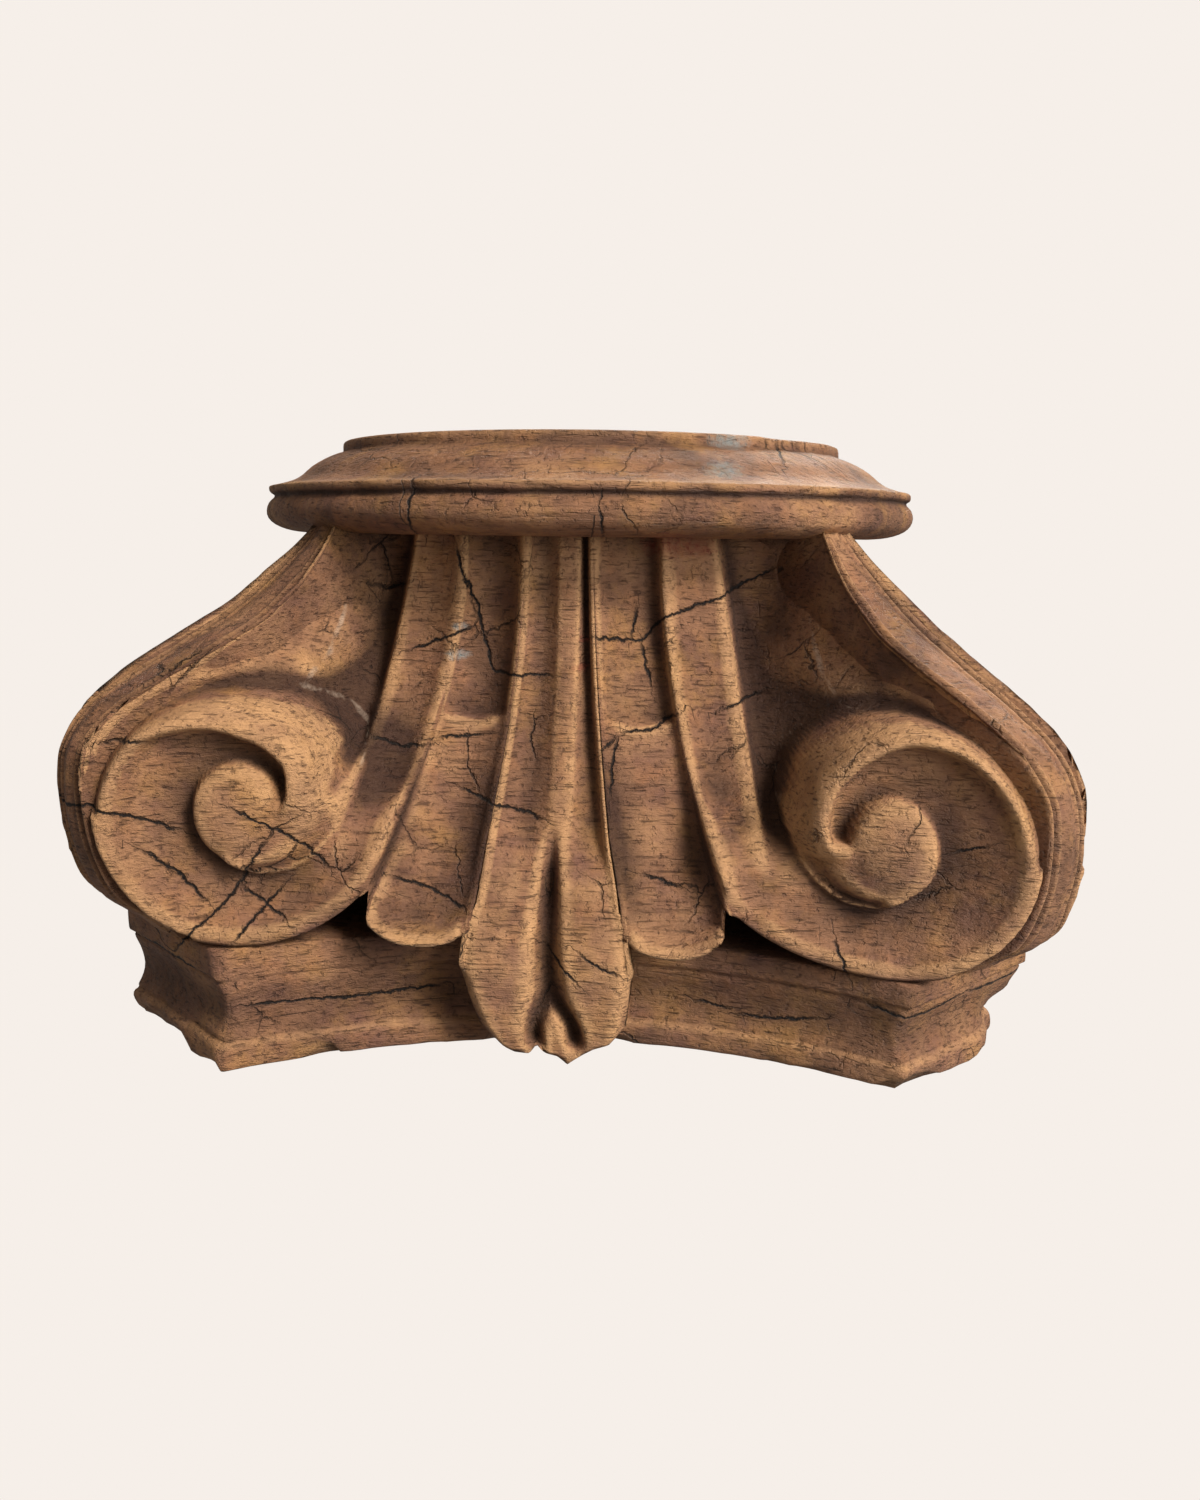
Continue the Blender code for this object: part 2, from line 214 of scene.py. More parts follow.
def panel(x, z):
    """Corner panel from the crease to the stem's ridge, a little hollow, w0 + (w1 - w0) t^1.2, with a raised lip."""
    out, wide = table(z, CREASE_AT), table(z, CREASE_WIDE)
    x0, w0 = (out - wide) / math.sqrt(2), (out + wide) / math.sqrt(2)
    x1, w1 = stem_ridge(np.maximum(z, EYE_Z))
    t = (np.abs(x) - x0) / np.maximum(x1 - x0, 1.0)
    return w0 + (w1 - w0) * np.clip(t, 0, 1) ** 1.2 + 1.4 * smooth(0.86, 0.94, t), t, w0


def volute(x, z, under):
    """Volute over what is under it: a coiling raised body that ends in the eye, and a hollow channel inside its rim."""
    dx, dz = EYE_X - np.abs(x), z - EYE_Z
    rho, deg = np.hypot(dx, dz), np.degrees(np.arctan2(dz, dx))
    a = np.radians(deg)
    eye = EYE_WIDE * EYE_TALL / np.hypot(EYE_TALL * np.cos(a), EYE_WIDE * np.sin(a))
    left = table(deg, ((5, 20), (31, 26), (47, 31), (67, 34), (86, 36), (104, 41), (124, 46), (140, 51), (180, 54)))
    right = table(deg, ((-15, 22), (0, 27), (12, 30), (28, 33), (44, 36), (58, 38), (79, 43), (95, 48), (120, 51.5), (180, 54)))
    hook = np.maximum(np.where(x < 0, left, right), eye)
    crease = table(deg, ((-110, 22), (-84, 27), (-60, 32), (-40, 35), (-21, 38.5), (-7, 42.5), (10, 48), (25, 54), (38, 58), (180, 61)))
    shade = x > 0
    top = face(x)
    upper = deg > np.where(x < 0, 4.0, -13.0)
    # distance in from the lower outline, and the rim's place inside it
    wide = np.where(dx > 0, reach_of(x), ROLL_OUT)
    tall = np.where(dz < 0, ROLL_DOWN, ROLL_OUT)
    inward = (1 - np.hypot(dx / wide, dz / tall)) * 62.0
    corner = np.where(dx < 0, smooth(100, 170, np.abs(deg)), 0.0)
    p = np.abs(x - middle_of(z))
    inward = np.where((dx > 0) & (dz > -45), np.minimum(inward + 99.0 * (dz > 0), p - ridge(MIDDLE_RIDGE, z) + 3.0), inward)
    rim = mix(3.2, 7.4, corner)
    inside = inward - rim
    # raised body and eye
    start = np.where(upper, hook, eye)
    t = np.clip((rho - start) / np.maximum(crease - start, 1.0), 0, 1)
    crown = top + mix(-1.5, 2.0, smooth(-30, 20, deg))
    foot = mix(under, np.maximum(under, top - 11.0), smooth(34.0, 0.0, deg))
    body = foot + (crown - foot) * (1 - smooth(0.1, 1.0, t ** 1.6)) - 2.5 * t * (1 - t)
    body = body + 1.2 * upper * hump(rho, start + 2.4, 2.8)
    button = top + 1.8 - 3.6 * (rho / eye) ** 2.4
    # channel, deepest beside the eye and the body, and the crescent under the hook
    near = np.where((deg > -110) & (deg <= 4), np.maximum(crease, eye), eye)
    t = np.clip((rho - near) / np.maximum(rho - near + np.maximum(inside - 3.5, 0.0), 1.0), 0, 1)
    channel = top - 11.0 * (1 - t ** 1.8) * smooth(-0.5, 3.0, rho - near)
    crescent = top - 9.5 * smooth(-0.3, 2.5, rho - eye) * smooth(0.0, 3.0, hook - rho)
    channel = mix(channel, crescent, (deg > 4) * smooth(178, 120, deg))
    rimmed = mix(channel, top + 1.2, hump(inside, 0.0, 4.6) ** 0.5 * np.where(upper, 0.0, 1.0))
    # towards the bell the channel runs out of the band between the ridges
    bellward = (deg > -84) & (deg < 60) & (rho > crease)
    rimmed = np.where(bellward, mix(under, rimmed, smooth(135, 84, z)), rimmed)
    # outside the rim: a groove, then the lip that is the stem's ridge
    lip_x, lip_w = stem_ridge(z)
    outside = np.where(deg > 0, 60.8 - rho, inside + 3.6)
    groove = mix(under, top, smooth(30, -10, deg) * 1.0)
    shell = np.where(deg > 0, under, np.minimum(top, lip_w))
    outer = shell - np.where(shade, 9.0, 6.0) * corner * hump(outside, np.where(shade, -5.5, -2.0), np.where(shade, 7.0, 4.0)) - 1.5 * (deg > 0) * hump(outside, 0.0, 2.5)
    w = np.where(rho < eye, button, rimmed)
    w = np.where((deg > -84) & (rho >= start) & (rho < crease), body, w)
    w = np.where((deg <= -84) & (inside < -3.6), outer, w)
    w = np.where((deg > 38) & (rho >= crease), outer, w)
    w = np.where((deg > -84) & (deg <= 38) & (inward < 0.0) & (p < ridge(MIDDLE_RIDGE, z)), under, w)
    return w, rho, deg, crease, eye, hook, inside


def carve(x, z):
    """Depth of a whole side, and marks of where creases hold lime."""
    w = bell(x, z)
    slope, t, foot = panel(x, z)
    q = np.abs(x - middle_of(z)) - ridge(OUTER_RIDGE, z)
    out, wide = table(z, CREASE_AT), table(z, CREASE_WIDE)
    x0 = (out - wide) / math.sqrt(2)
    gap = np.maximum(x0 - (np.abs(x) - q) - 8.0, 1.0)
    floor = mix(w, foot, np.clip((q - 8.0) / gap, 0, 1) ** 1.3)
    under = np.where(t > 0, slope, np.where(q > 8.0, floor, w))
    soft = hump(t, 0.05, 0.9) * smooth(145, 165, z) * smooth(232, 205, z)
    under = mix(under, spread(under, 15), soft)
    done, rho, deg, crease, eye, hook, inside = volute(x, z, under)
    reach = (np.abs(x) > 60) & (z < EYE_Z + 66) & (np.abs(x - middle_of(z)) > ridge(MIDDLE_RIDGE, z) - 1.0)
    w = np.where(reach, done, under)
    lime = hump(t, 0.0, 0.09) * smooth(165, 185, z)
    lime = np.maximum(lime, reach * hump(rho, crease, 3.0) * smooth(-20, 20, deg) * smooth(150, 60, deg))
    return w, lime


def side_grid(columns, rows):
    """x and z of a side: columns keep to the ridges, rows fall from the neck to the lower outline."""
    s = np.sort(np.append(np.linspace(0, 1, columns // 2 + 1), [0.18, 0.1801]))
    s = np.interp(np.arange(3 * len(s) - 2) / 3.0, np.arange(len(s)), s)[None, :]
    v = np.linspace(0, 1, 3 * rows - 2)[:, None]
    xs, zs = [], []
    for sign in (-1, 1):
        foot = table(s, ((0, 0), (0.18, 37), (0.43, 88), (0.5, 104.5), (1, EYE_X + ROLL_OUT)))
        at = middle_of(75.0) + sign * foot
        at = mix(at, sign * foot, smooth(0.5, 1.0, s))
        if sign < 0:
            leaf = table(s / 0.18, ((0, 4.5), (0.2, 6.5), (0.34, 9.0), (0.5, 6.6), (0.75, 7.5), (0.93, 11), (1, 18)))
        else:
            leaf = table(s / 0.18, ((0, 4.5), (0.22, 0.8), (0.4, 4.5), (0.65, 9.5), (0.9, 12.5), (1, 20)))
        low = np.where(s <= 0.18, leaf, np.where(foot < 84, tongue_low(foot), volute_low(at)))
        z = 255.0 - (255.0 - low) * v
        inner = np.where(s <= 0.18, np.where(z > 75, ridge(INNER_RIDGE, z), leaf_edge(z)), ridge(INNER_RIDGE, np.maximum(z, 75.0)))
        inner = inner - sign * 1.5 * smooth(80, 110, z)
        middle, outer = ridge(MIDDLE_RIDGE, np.maximum(z, 78.0)), ridge(OUTER_RIDGE, np.maximum(z, 78.0))
        far, _ = stem_ridge(np.maximum(z, EYE_Z))
        shift = middle_of(z)
        x = np.where(s <= 0.18, inner * s / 0.18, 0.0)
        x = np.where((s > 0.18) & (s <= 0.43), mix(inner, middle, (s - 0.18) / 0.25), x)
        x = np.where((s > 0.43) & (s <= 0.50), mix(middle, outer, (s - 0.43) / 0.07), x)
        x = shift + sign * x
        x = np.where(s > 0.5, mix(shift + sign * outer, sign * far, (s - 0.5) / 0.5), x)
        xs.append(x)
        zs.append(z)
    x = np.concatenate([xs[0][:, ::-1], xs[1][:, 1:]], axis=1)
    z = np.concatenate([zs[0][:, ::-1], zs[1][:, 1:]], axis=1)
    return x, z


def spread(field, reach):
    """Field averaged twice over a square of neighbours, edges repeated."""
    for axis in (0, 1, 0, 1):
        pad = [(0, 0), (0, 0)]
        pad[axis] = (reach + 1, reach)
        total = np.cumsum(np.pad(field, pad, mode="edge"), axis=axis)
        n = field.shape[axis]
        high = np.take(total, np.arange(2 * reach + 1, 2 * reach + 1 + n), axis=axis)
        field = (high - np.take(total, np.arange(n), axis=axis)) / (2 * reach + 1)
    return field


def turned(side, x, w, z):
    """Block coordinates of a point of side 0 to 3."""
    c, s = round(math.cos(side * math.pi / 2)), round(math.sin(side * math.pi / 2))
    return np.stack([x * c + w * s, x * s - w * c, z], axis=-1)


shells = []


def keep(points, faces, **marks):
    """Adds a shell: its points, its faces and a number from each mark for every point."""
    shells.append((points.reshape(-1, 3), faces, {k: np.broadcast_to(v, points.shape[:-1]).reshape(-1) for k, v in marks.items()}))


def grid_faces(rows, columns, closed, start=0):
    """Four-sided faces of a grid of points, the last column joined to the first if closed."""
    i, j = np.meshgrid(np.arange(rows - 1), np.arange(columns if closed else columns - 1), indexing="ij")
    k = (j + 1) % columns
    quads = np.stack([i * columns + j, (i + 1) * columns + j, (i + 1) * columns + k, i * columns + k], axis=-1)
    return quads.reshape(-1, 4) + start


for side, columns, rows in ((0, 240, 112), (1, 130, 70), (2, 130, 70), (3, 130, 70)):
    # worked out three times finer, evened over the neighbours, and thinned, so that steep edges aren't ragged
    x, z = side_grid(columns, rows)
    w, lime = carve(x, z)
    w, lime = spread(w, 1)[::3, ::3], spread(lime, 1)[::3, ::3]
    x, z = x[::3, ::3], z[::3, ::3]
    ground = turned(side, x, w, z)
    rough = 0.55 * wander(*np.moveaxis(ground, -1, 0), 22.0, 3) + 0.35 * wander(*np.moveaxis(ground, -1, 0), 7.0, 5)
    w = w + rough
    step = 7 if side == 0 else 4
    # how far each point lies below its neighbours, for painted shade with some dirt in the hollows, and how far above,
    # for wear with a painted highlight on the ridges
    hollow = np.clip((spread(w, step) - w) / 5.0, -1, 1)
    worn = np.clip((w - spread(w, 2 if side == 0 else 1)) / 0.8, -1, 1)
    front = turned(side, x, w, z)
    m, n = x.shape
    edge = np.concatenate([np.arange(n), n - 1 + n * np.arange(1, m), n * (m - 1) + np.arange(n - 2, -1, -1),
                           n * np.arange(m - 2, 0, -1)])
    rim = np.stack([x.reshape(-1)[edge], w.reshape(-1)[edge], z.reshape(-1)[edge]], axis=-1)
    middle = np.array([0.0, 0.0, 130.0])
    inward = middle - rim
    inward[:, 1] = 0
    inward = inward / np.linalg.norm(inward, axis=1)[:, None]
    rings = [rim + inward * 1.2 + [0, -1.5, 0], rim + inward * 2.0 + [0, -6, 0], rim + inward * 3.0 + [0, -16, 0]]
    last = rings[-1].copy()
    last[:, 1] = np.minimum(rim[:, 1] - 28.0, 150.0)
    rings.append(last)
    count = len(edge)
    back = np.concatenate(rings + [[[0.0, 60.0, 130.0]]])
    back_points = turned(side, back[:, 0], back[:, 1], back[:, 2])
    points = np.concatenate([front.reshape(-1, 3), back_points])
    j = np.arange(count)
    k = (j + 1) % count
    start = m * n
    sheets = [grid_faces(m, n, False), np.stack([edge[k], start + k, start + j, edge[j]], axis=-1)]
    for r in range(3):
        sheets.append(np.stack([start + r * count + k, start + (r + 1) * count + k, start + (r + 1) * count + j, start + r * count + j], axis=-1))
    fan = np.stack([start + 3 * count + k, start + 3 * count + j, np.full(count, len(points) - 1)], axis=-1)[:, ::-1]
    filler = len(points) - m * n
    keep(points, [np.concatenate(sheets), fan],
         hollow=np.concatenate([hollow.reshape(-1), np.full(filler, 0.3)]),
         worn=np.concatenate([worn.reshape(-1), np.zeros(filler)]),
         lime=np.concatenate([lime.reshape(-1), np.zeros(filler)]))

# Corner stems: a band with a bead and a groove on each side of it, running down from the neck, out over the
# volutes and under them. Carved with the rest, and the most worn by weather on their sandy upper faces.


def spline(rows, share):
    """Catmull-Rom curve: (2p1 + (p2-p0)t + (2p0-5p1+4p2-p3)t^2 + (3p1-p0-3p2+p3)t^3) / 2."""
    rows = np.array(rows, float)
    at = np.clip(share, 0.0, 1.0) * (len(rows) - 1)
    i = np.minimum(at.astype(int), len(rows) - 2)
    t = (at - i)[..., None]
    p1, p2 = rows[i], rows[i + 1]
    p0 = np.where((i > 0)[..., None], rows[np.maximum(i - 1, 0)], 2 * p1 - p2)
    p3 = np.where((i < len(rows) - 2)[..., None], rows[np.minimum(i + 2, len(rows) - 1)], 2 * p2 - p1)
    return 0.5 * (2 * p1 + (p2 - p0) * t + (2 * p0 - 5 * p1 + 4 * p2 - p3) * t ** 2 + (3 * p1 - p0 - 3 * p2 + p3) * t ** 3)


for corner, rows in ((0, 80), (1, 50), (2, 50), (3, 80)):
    path = spline([(d, z) for z, d in STEM_AT] + [(262, 47), (246, 46)], np.linspace(0, 1, rows))
    step = np.gradient(path, axis=0)
    step = step / np.linalg.norm(step, axis=1)[:, None]
    normal = np.stack([-step[:, 1], step[:, 0]], axis=-1)
    half = table(path[:, 1], STEM_WIDE)[:, None]
    across = np.linspace(-1, 1, 41)[None, :]
    a = np.abs(across)
    cut = smooth(8, 18, half) * (4.2 + 2.5 * hump(path[:, 1:], 226, 24))
    lift = -1.6 * smooth(0.0, 0.5, a) - cut * hump(a, 0.73, 0.15) ** 0.6 + 0.8 * hump(a, 0.53, 0.08) - 0.6 * smooth(0.95, 1.0, a)
    along = np.broadcast_to(path[:, None, :], (rows, 41, 2)) + normal[:, None, :] * lift[..., None]
    b = across * half
    walls = []
    for share, deep in ((1.0, 4.0), (0.98, 12.0), (0.8, 45.0)):
        walls.append(((share * half[:, 0]), path - normal * deep))
    d = np.concatenate([along[..., 0]] + [q[:, :1] for _, q in walls] + [q[:, :1] for _, q in walls[::-1]], axis=1)
    z = np.concatenate([along[..., 1]] + [q[:, 1:] for _, q in walls] + [q[:, 1:] for _, q in walls[::-1]], axis=1)
    b = np.concatenate([b] + [h[:, None] for h, _ in walls] + [-h[:, None] for h, _ in walls[::-1]], axis=1)
    turn = -math.pi / 4 + corner * math.pi / 2
    x, y = d * math.cos(turn) - b * math.sin(turn), d * math.sin(turn) + b * math.cos(turn)
    points = np.stack([x, y, z], axis=-1)
    bumps = 0.5 * wander(x, y, z, 20.0, 3) + 0.3 * wander(x, y, z, 7.0, 5)
    outward = np.stack([normal[:, 0] * math.cos(turn), normal[:, 0] * math.sin(turn), normal[:, 1]], axis=-1)
    points = points + outward[:, None, :] * bumps[..., None]
    m, n = z.shape
    ends = np.stack([points[0].mean(0), points[-1].mean(0)])
    every = np.concatenate([points.reshape(-1, 3), ends])
    j = np.arange(n)
    k = (j + 1) % n
    fans = np.concatenate([np.stack([k, np.full(n, m * n), j], axis=-1), np.stack([(m - 1) * n + j, np.full(n, m * n + 1), (m - 1) * n + k], axis=-1)])
    # painted shade with some dirt in the grooves, and wear with a painted highlight along the beads and edges
    hollow = np.concatenate([np.clip(-lift / 5.0 - 0.2, 0, 1), np.full((m, 6), 0.3)], axis=1)
    worn = np.concatenate([0.6 * hump(a, 0.9, 0.08) + 0.4 * hump(a, 0.53, 0.08) + 0 * half, np.zeros((m, 6))], axis=1)
    keep(every, [grid_faces(m, n, True), fans],
         hollow=np.append(hollow.reshape(-1), [0, 0]), worn=np.append(worn.reshape(-1), [0, 0]), lime=0.0)

# Turned disc on top: flat seat, fillet, a cyma running out to a lip, a quirk, and a thick torus.
# It was turned on the block before the bell was carved, and its lip and quirk are broken away in places.

SEAT_TOP = 302.5
DISC = ((143, 302.4), (146, 302.0), (147.2, 300.8), (147.4, 298), (148, 296), (153, 294.2), (160, 291), (166.5, 286.8),
        (171.5, 282.4), (177, 279.4), (184, 277.2), (188.6, 276.2), (189.6, 275), (189.4, 272.6), (187.4, 271.2),
        (187.6, 269.6), (190, 267), (191.4, 263), (190.6, 258.6), (187, 255), (181, 252.4), (174, 251), (166, 250.4))
turns = np.linspace(0, 2 * math.pi, 200, endpoint=False)[None, :]
profile = spline(DISC, np.linspace(0, 1, 46))
r, z = profile[:, :1], profile[:, 1:]
x, y = r * np.cos(turns), r * np.sin(turns)
z = z + 0 * x
chip = smooth(0.1, 0.7, wander(x, y, z, 16.0, 11)) * hump(z, 272.5, 5.5)
worn_seat = smooth(0.2, 0.9, wander(x, y, z, 26.0, 12)) * hump(z, 300.0, 5.0)
inward = 2.2 * chip + 1.2 * worn_seat - 0.35 * wander(x, y, z * 2, 12.0, 13) + 0.5
x, y = x * (1 - inward / r), y * (1 - inward / r)
z = z - 0.9 * worn_seat + 0.25 * wander(x, y, z, 18.0, 14) * (z < 299)
z = np.minimum(z, SEAT_TOP - 0.05)
rings = np.stack([x, y, z], axis=-1)
m, n = z.shape
every = np.concatenate([rings.reshape(-1, 3), [[0, 0, SEAT_TOP - 0.05], [0, 0, 250.0]]])
j = np.arange(n)
k = (j + 1) % n
fans = np.concatenate([np.stack([j, k, np.full(n, m * n)], axis=-1), np.stack([(m - 1) * n + k, (m - 1) * n + j, np.full(n, m * n + 1)], axis=-1)])
# painted shade with some dirt in the quirk, in the fillet under the seat and in the chips; wear with a painted
# highlight on the lip and the seat's edge, less where chipped
hollow = np.clip(hump(profile[:, 1:], 270.8, 2.6) + 0.4 * hump(profile[:, 1:], 296, 3.0) + 0.6 * chip, 0, 1)
worn = 0.6 * hump(profile[:, 1:], 275.5, 2.5) + 0.4 * hump(profile[:, 1:], 301, 2.5) - 0.5 * chip
keep(every, [grid_faces(m, n, True), fans], hollow=np.append(hollow.reshape(-1), [0.1, 0.5]),
     worn=np.append(worn.reshape(-1), [0, 0]), lime=0.0)

# Abacus: square plate with hollowed sides and cut corners, moulded as fascia, groove, cove and bottom fillet.
# It lies on the ground, so its lower edge is broken and worn the most.

ABACUS = ((56, 4), (55.6, 1.0), (54.5, 0.2), (50, 0), (44.5, 0.2), (43.2, 1.2), (42, 3.4), (40.5, 3.0), (37, 4.2), (32, 6.6),
          (27, 7.6), (22, 7.0), (17.5, 5.0), (15, 3.6), (13.4, 3.8), (12, 1.6), (9.5, 0.5), (5, 0.3), (2, 0.8), (0.6, 2.0), (0, 4.2))
ARRIS_X, ARRIS_W, HOLLOW_W = 160.5, 231.0, 182.0
share = np.linspace(-1, 1, 72)
plan = []
for side in range(4):
    x = ARRIS_X * share
    plan.append(turned(side, x, HOLLOW_W + (ARRIS_W - HOLLOW_W) * share ** 2, 0 * x)[:, :2])
    cut = np.linspace(0, 1, 14)[1:-1, None]
    first, second = turned(side, ARRIS_X, ARRIS_W, 0.0)[:2], turned(side + 1, -ARRIS_X, ARRIS_W, 0.0)[:2]
    plan.append(first + (second - first) * cut)
plan = np.concatenate(plan)
levels = spline(ABACUS, np.linspace(0, 1, 36))
size = np.linalg.norm(plan, axis=1)[None, :]
z = levels[:, :1] + 0 * size
drawn = levels[:, 1:] + 0 * size
x, y = plan[None, :, 0] + 0 * z, plan[None, :, 1] + 0 * z
broken = smooth(0.15, 0.75, wander(x, y, 0 * z, 24.0, 21)) * smooth(12, 0, z) + 0.6 * smooth(0.3, 0.9, wander(x, y, z, 13.0, 22)) * smooth(26, 4, z)
lost = hump(np.hypot(x - 231.0, y + 160.5), 0.0, 34.0) * smooth(30, 12, z)
drawn = drawn + 4.0 * broken + 15.0 * lost + 0.8 * wander(x, y, z, 15.0, 23) + 0.5 * wander(x, y, z, 6.0, 24) + 0.6
x, y = x * (1 - drawn / size), y * (1 - drawn / size)
z = np.maximum(z + 3.5 * broken * smooth(14, 1, z) * (z > 0.01), 0.0)
rings = np.stack([x, y, z], axis=-1)
m, n = z.shape
every = np.concatenate([rings.reshape(-1, 3), [[0, 0, 56.0], [0, 0, 0.0]]])
j = np.arange(n)
k = (j + 1) % n
fans = np.concatenate([np.stack([j, k, np.full(n, m * n)], axis=-1), np.stack([(m - 1) * n + k, (m - 1) * n + j, np.full(n, m * n + 1)], axis=-1)])
# painted shade with some dirt, darker the further the moulding is drawn in and where it is broken; wear with a painted
# highlight on the broken edge and the fillet near the bottom
hollow = np.clip((levels[:, 1:] - 1.5) / 13.0 + 0 * size + 0.3 * broken, 0, 1)
worn = 0.5 * broken + 0.5 * hump(levels[:, :1], 12, 3) + 0 * size
keep(every, [grid_faces(m, n, True), fans], hollow=np.append(hollow.reshape(-1), [0.4, 0.4]),
     worn=np.append(worn.reshape(-1), [0, 0]), lime=0.0)

# Season cracks: the block has dried and split, mostly along the grain and across the carving. Each is a bent line of
# places (x, z) on a side; the material draws it dark and sunk. Every second side has the same family turned over.

CRACKS = (
    ((-76, 274), (-78, 264), (-78, 251)), ((13, 266), (15, 251)), ((101, 300), (103, 288)),
    ((-235, 126), (-214, 129), (-192, 122), (-176, 114)), ((-152, 127), (-130, 114), (-111, 94)),
    ((-206, 157), (-185, 158)), ((-215, 149), (-208, 146)), ((-193, 108), (-178, 96), (-165, 81)),
    ((-152, 88), (-141, 80), (-129, 71)), ((-137, 111), (-159, 79), (-190, 51)), ((-132, 87), (-143, 75), (-153, 62)),
    ((-61, 246), (-57, 231), (-50, 215), (-45, 195), (-41, 183), (-26, 182), (-9, 182)),
    ((-86, 192), (-69, 198), (-50, 205)), ((-105, 221), (-88, 226)), ((-101, 152), (-85, 147), (-70, 148)),
    ((-67, 151), (-42, 153)), ((-56, 128), (-39, 122), (-12, 114)), ((-84, 90), (-73, 86), (-61, 81), (-46, 74)),
    ((8, 201), (33, 199), (45, 211), (74, 221), (102, 236)), ((31, 217), (28, 199)), ((33, 199), (39, 175)),
    ((23, 155), (39, 156), (53, 165)), ((23, 154), (20, 138), (20, 124)), ((73, 166), (97, 174)),
    ((14, 145), (23, 154)), ((35, 91), (57, 85)), ((6, 57), (16, 51), (28, 46)), ((-10, 57), (8, 41)),
    ((126, 70), (128, 62), (133, 51)), ((175, 112), (191, 118)), ((-224, 42), (-187, 47), (-158, 44)),
    ((61, 25), (83, 23)), ((83, 21), (104, 22), (122, 26)), ((192, 31), (208, 17), (219, 6)),
    ((194, 8), (208, 12), (219, 16)), ((-150, 30), (-100, 27), (-62, 29)), ((140, 39), (170, 34), (192, 36)))
BLUE_PAINT = ((76, 299, 16), (163, 273, 11), (72, 283, 15), (-59, 191, 9), (-58, 205, 7))
RED_PAINT = ((47, 247, 22), (61, 246, 16), (4, 186, 7), (5, 200, 6))


def from_line(x, z, line):
    """Distance to a bent line, its sign the side it lies on, and how present the line is: 1, fading at its ends."""
    best = np.full(x.shape, 99.0)
    for (x0, z0), (x1, z1) in zip(line[:-1], line[1:]):
        along = ((x - x0) * (x1 - x0) + (z - z0) * (z1 - z0)) / ((x1 - x0) ** 2 + (z1 - z0) ** 2)
        along = np.clip(along, 0, 1)
        away = np.hypot(x - x0 - along * (x1 - x0), z - z0 - along * (z1 - z0))
        turn = np.sign((x1 - x0) * (z - z0) - (z1 - z0) * (x - x0))
        best = np.where(away < np.abs(best), away * turn, best)
    here = smooth(7.5, 5.5, np.abs(best))
    for end_x, end_z in (line[0], line[-1]):
        here = here * smooth(-1.0, 6.0, np.hypot(x - end_x, z - end_z))
    return best, here


def gap_between(first, second):
    """Smallest distance between the corners and midpoints of two bent lines."""
    ends = []
    for line in (first, second):
        corners = np.array(line, float)
        ends.append(np.concatenate([corners, (corners[1:] + corners[:-1]) / 2]))
    return np.linalg.norm(ends[0][:, None] - ends[1][None], axis=2).min()


# All shells become one mesh, in metres. The left of each side stands higher than its right, as it was carved.

points = np.concatenate([shell[0] for shell in shells])
lean = table(points[:, 2], ((0, 0), (43, 0.29), (60, 0.7), (118, 1), (200, 0.5), (250, 0)))
points[:, 2] -= 0.043 * points[:, 0] * (0.5 - points[:, 1] / 480.0) * lean
points[:, :2] = np.clip(points[:, :2], -241.0, 241.0)
marks = {name: np.concatenate([shell[2][name] for shell in shells]) for name in ("hollow", "worn", "lime")}
outs = np.stack([-points[:, 1], points[:, 0], points[:, 1], -points[:, 0]])
across = np.stack([points[:, 0], points[:, 1], -points[:, 0], -points[:, 1]])
side_of = outs.argmax(axis=0)
along_side = np.take_along_axis(across, side_of[None], axis=0)[0] * np.where(side_of % 2 == 1, -1.0, 1.0)
layers = [[], [], [], []]
for line in CRACKS:
    free = [layer for layer in layers if all(gap_between(line, other) > 22.0 for other in layer)]
    (free or [layers[-1]])[0].append(line)
for number, lines in enumerate(layers):
    distance, presence = np.full(len(points), 9.0), np.zeros(len(points))
    for line in lines:
        best, here = from_line(along_side, points[:, 2], line)
        closer = here > presence
        distance, presence = np.where(closer, best, distance), np.where(closer, here, presence)
    marks[f"crack_{number}"] = np.clip(distance, -9.0, 9.0)
    marks[f"crack_{number}_here"] = presence
for name, spots in (("blue_paint", BLUE_PAINT), ("red_paint", RED_PAINT)):
    marks[name] = np.zeros(len(points))
    for spot_x, spot_z, wide in spots:
        spot = hump(np.hypot((points[:, 0] - spot_x) * 0.45, points[:, 2] - spot_z), 0.0, wide * 0.6)
        marks[name] = np.maximum(marks[name], spot * (side_of == 0))

mesh = bpy.data.meshes.new("carved_block")
corners, sizes, start = [], [], 0
for shell_points, parts, _ in shells:
    for part in parts:
        corners.append((part + start).reshape(-1))
        sizes.append(np.full(len(part), part.shape[1]))
    start += len(shell_points)
corners, sizes = np.concatenate(corners), np.concatenate(sizes)
mesh.vertices.add(len(points))
mesh.vertices.foreach_set("co", (points * 0.001).astype(np.float32).reshape(-1))
mesh.loops.add(len(corners))
mesh.loops.foreach_set("vertex_index", corners.astype(np.int32))
mesh.polygons.add(len(sizes))
mesh.polygons.foreach_set("loop_start", (np.cumsum(sizes) - sizes).astype(np.int32))
mesh.update(calc_edges=True)
mesh.validate()
mesh.polygons.foreach_set("use_smooth", np.ones(len(mesh.polygons), bool))
for name, values in marks.items():
    mark = mesh.attributes.new(name, "FLOAT", "POINT")
    mark.data.foreach_set("value", values.astype(np.float32))
block = bpy.data.objects.new("carved_block", mesh)
bpy.context.scene.collection.objects.link(block)

# Weathered teak, carved by hand: warm brown, streaked and checked along the grain, with painted shade and some dirt
# nearly black in the hollows, pale orange on the ridges, partly worn and partly a painted highlight, with lime and old
# paint left in the creases. Dull, with a trace of old wax.


def linear(code):
    """Linear colour of an sRGB hex code: ((c + 0.055) / 1.055)^2.4 above 0.04045, c / 12.92 below."""
    values = [int(code[i:i + 2], 16) / 255 for i in (1, 3, 5)]
    return [c / 12.92 if c <= 0.04045 else ((c + 0.055) / 1.055) ** 2.4 for c in values] + [1.0]


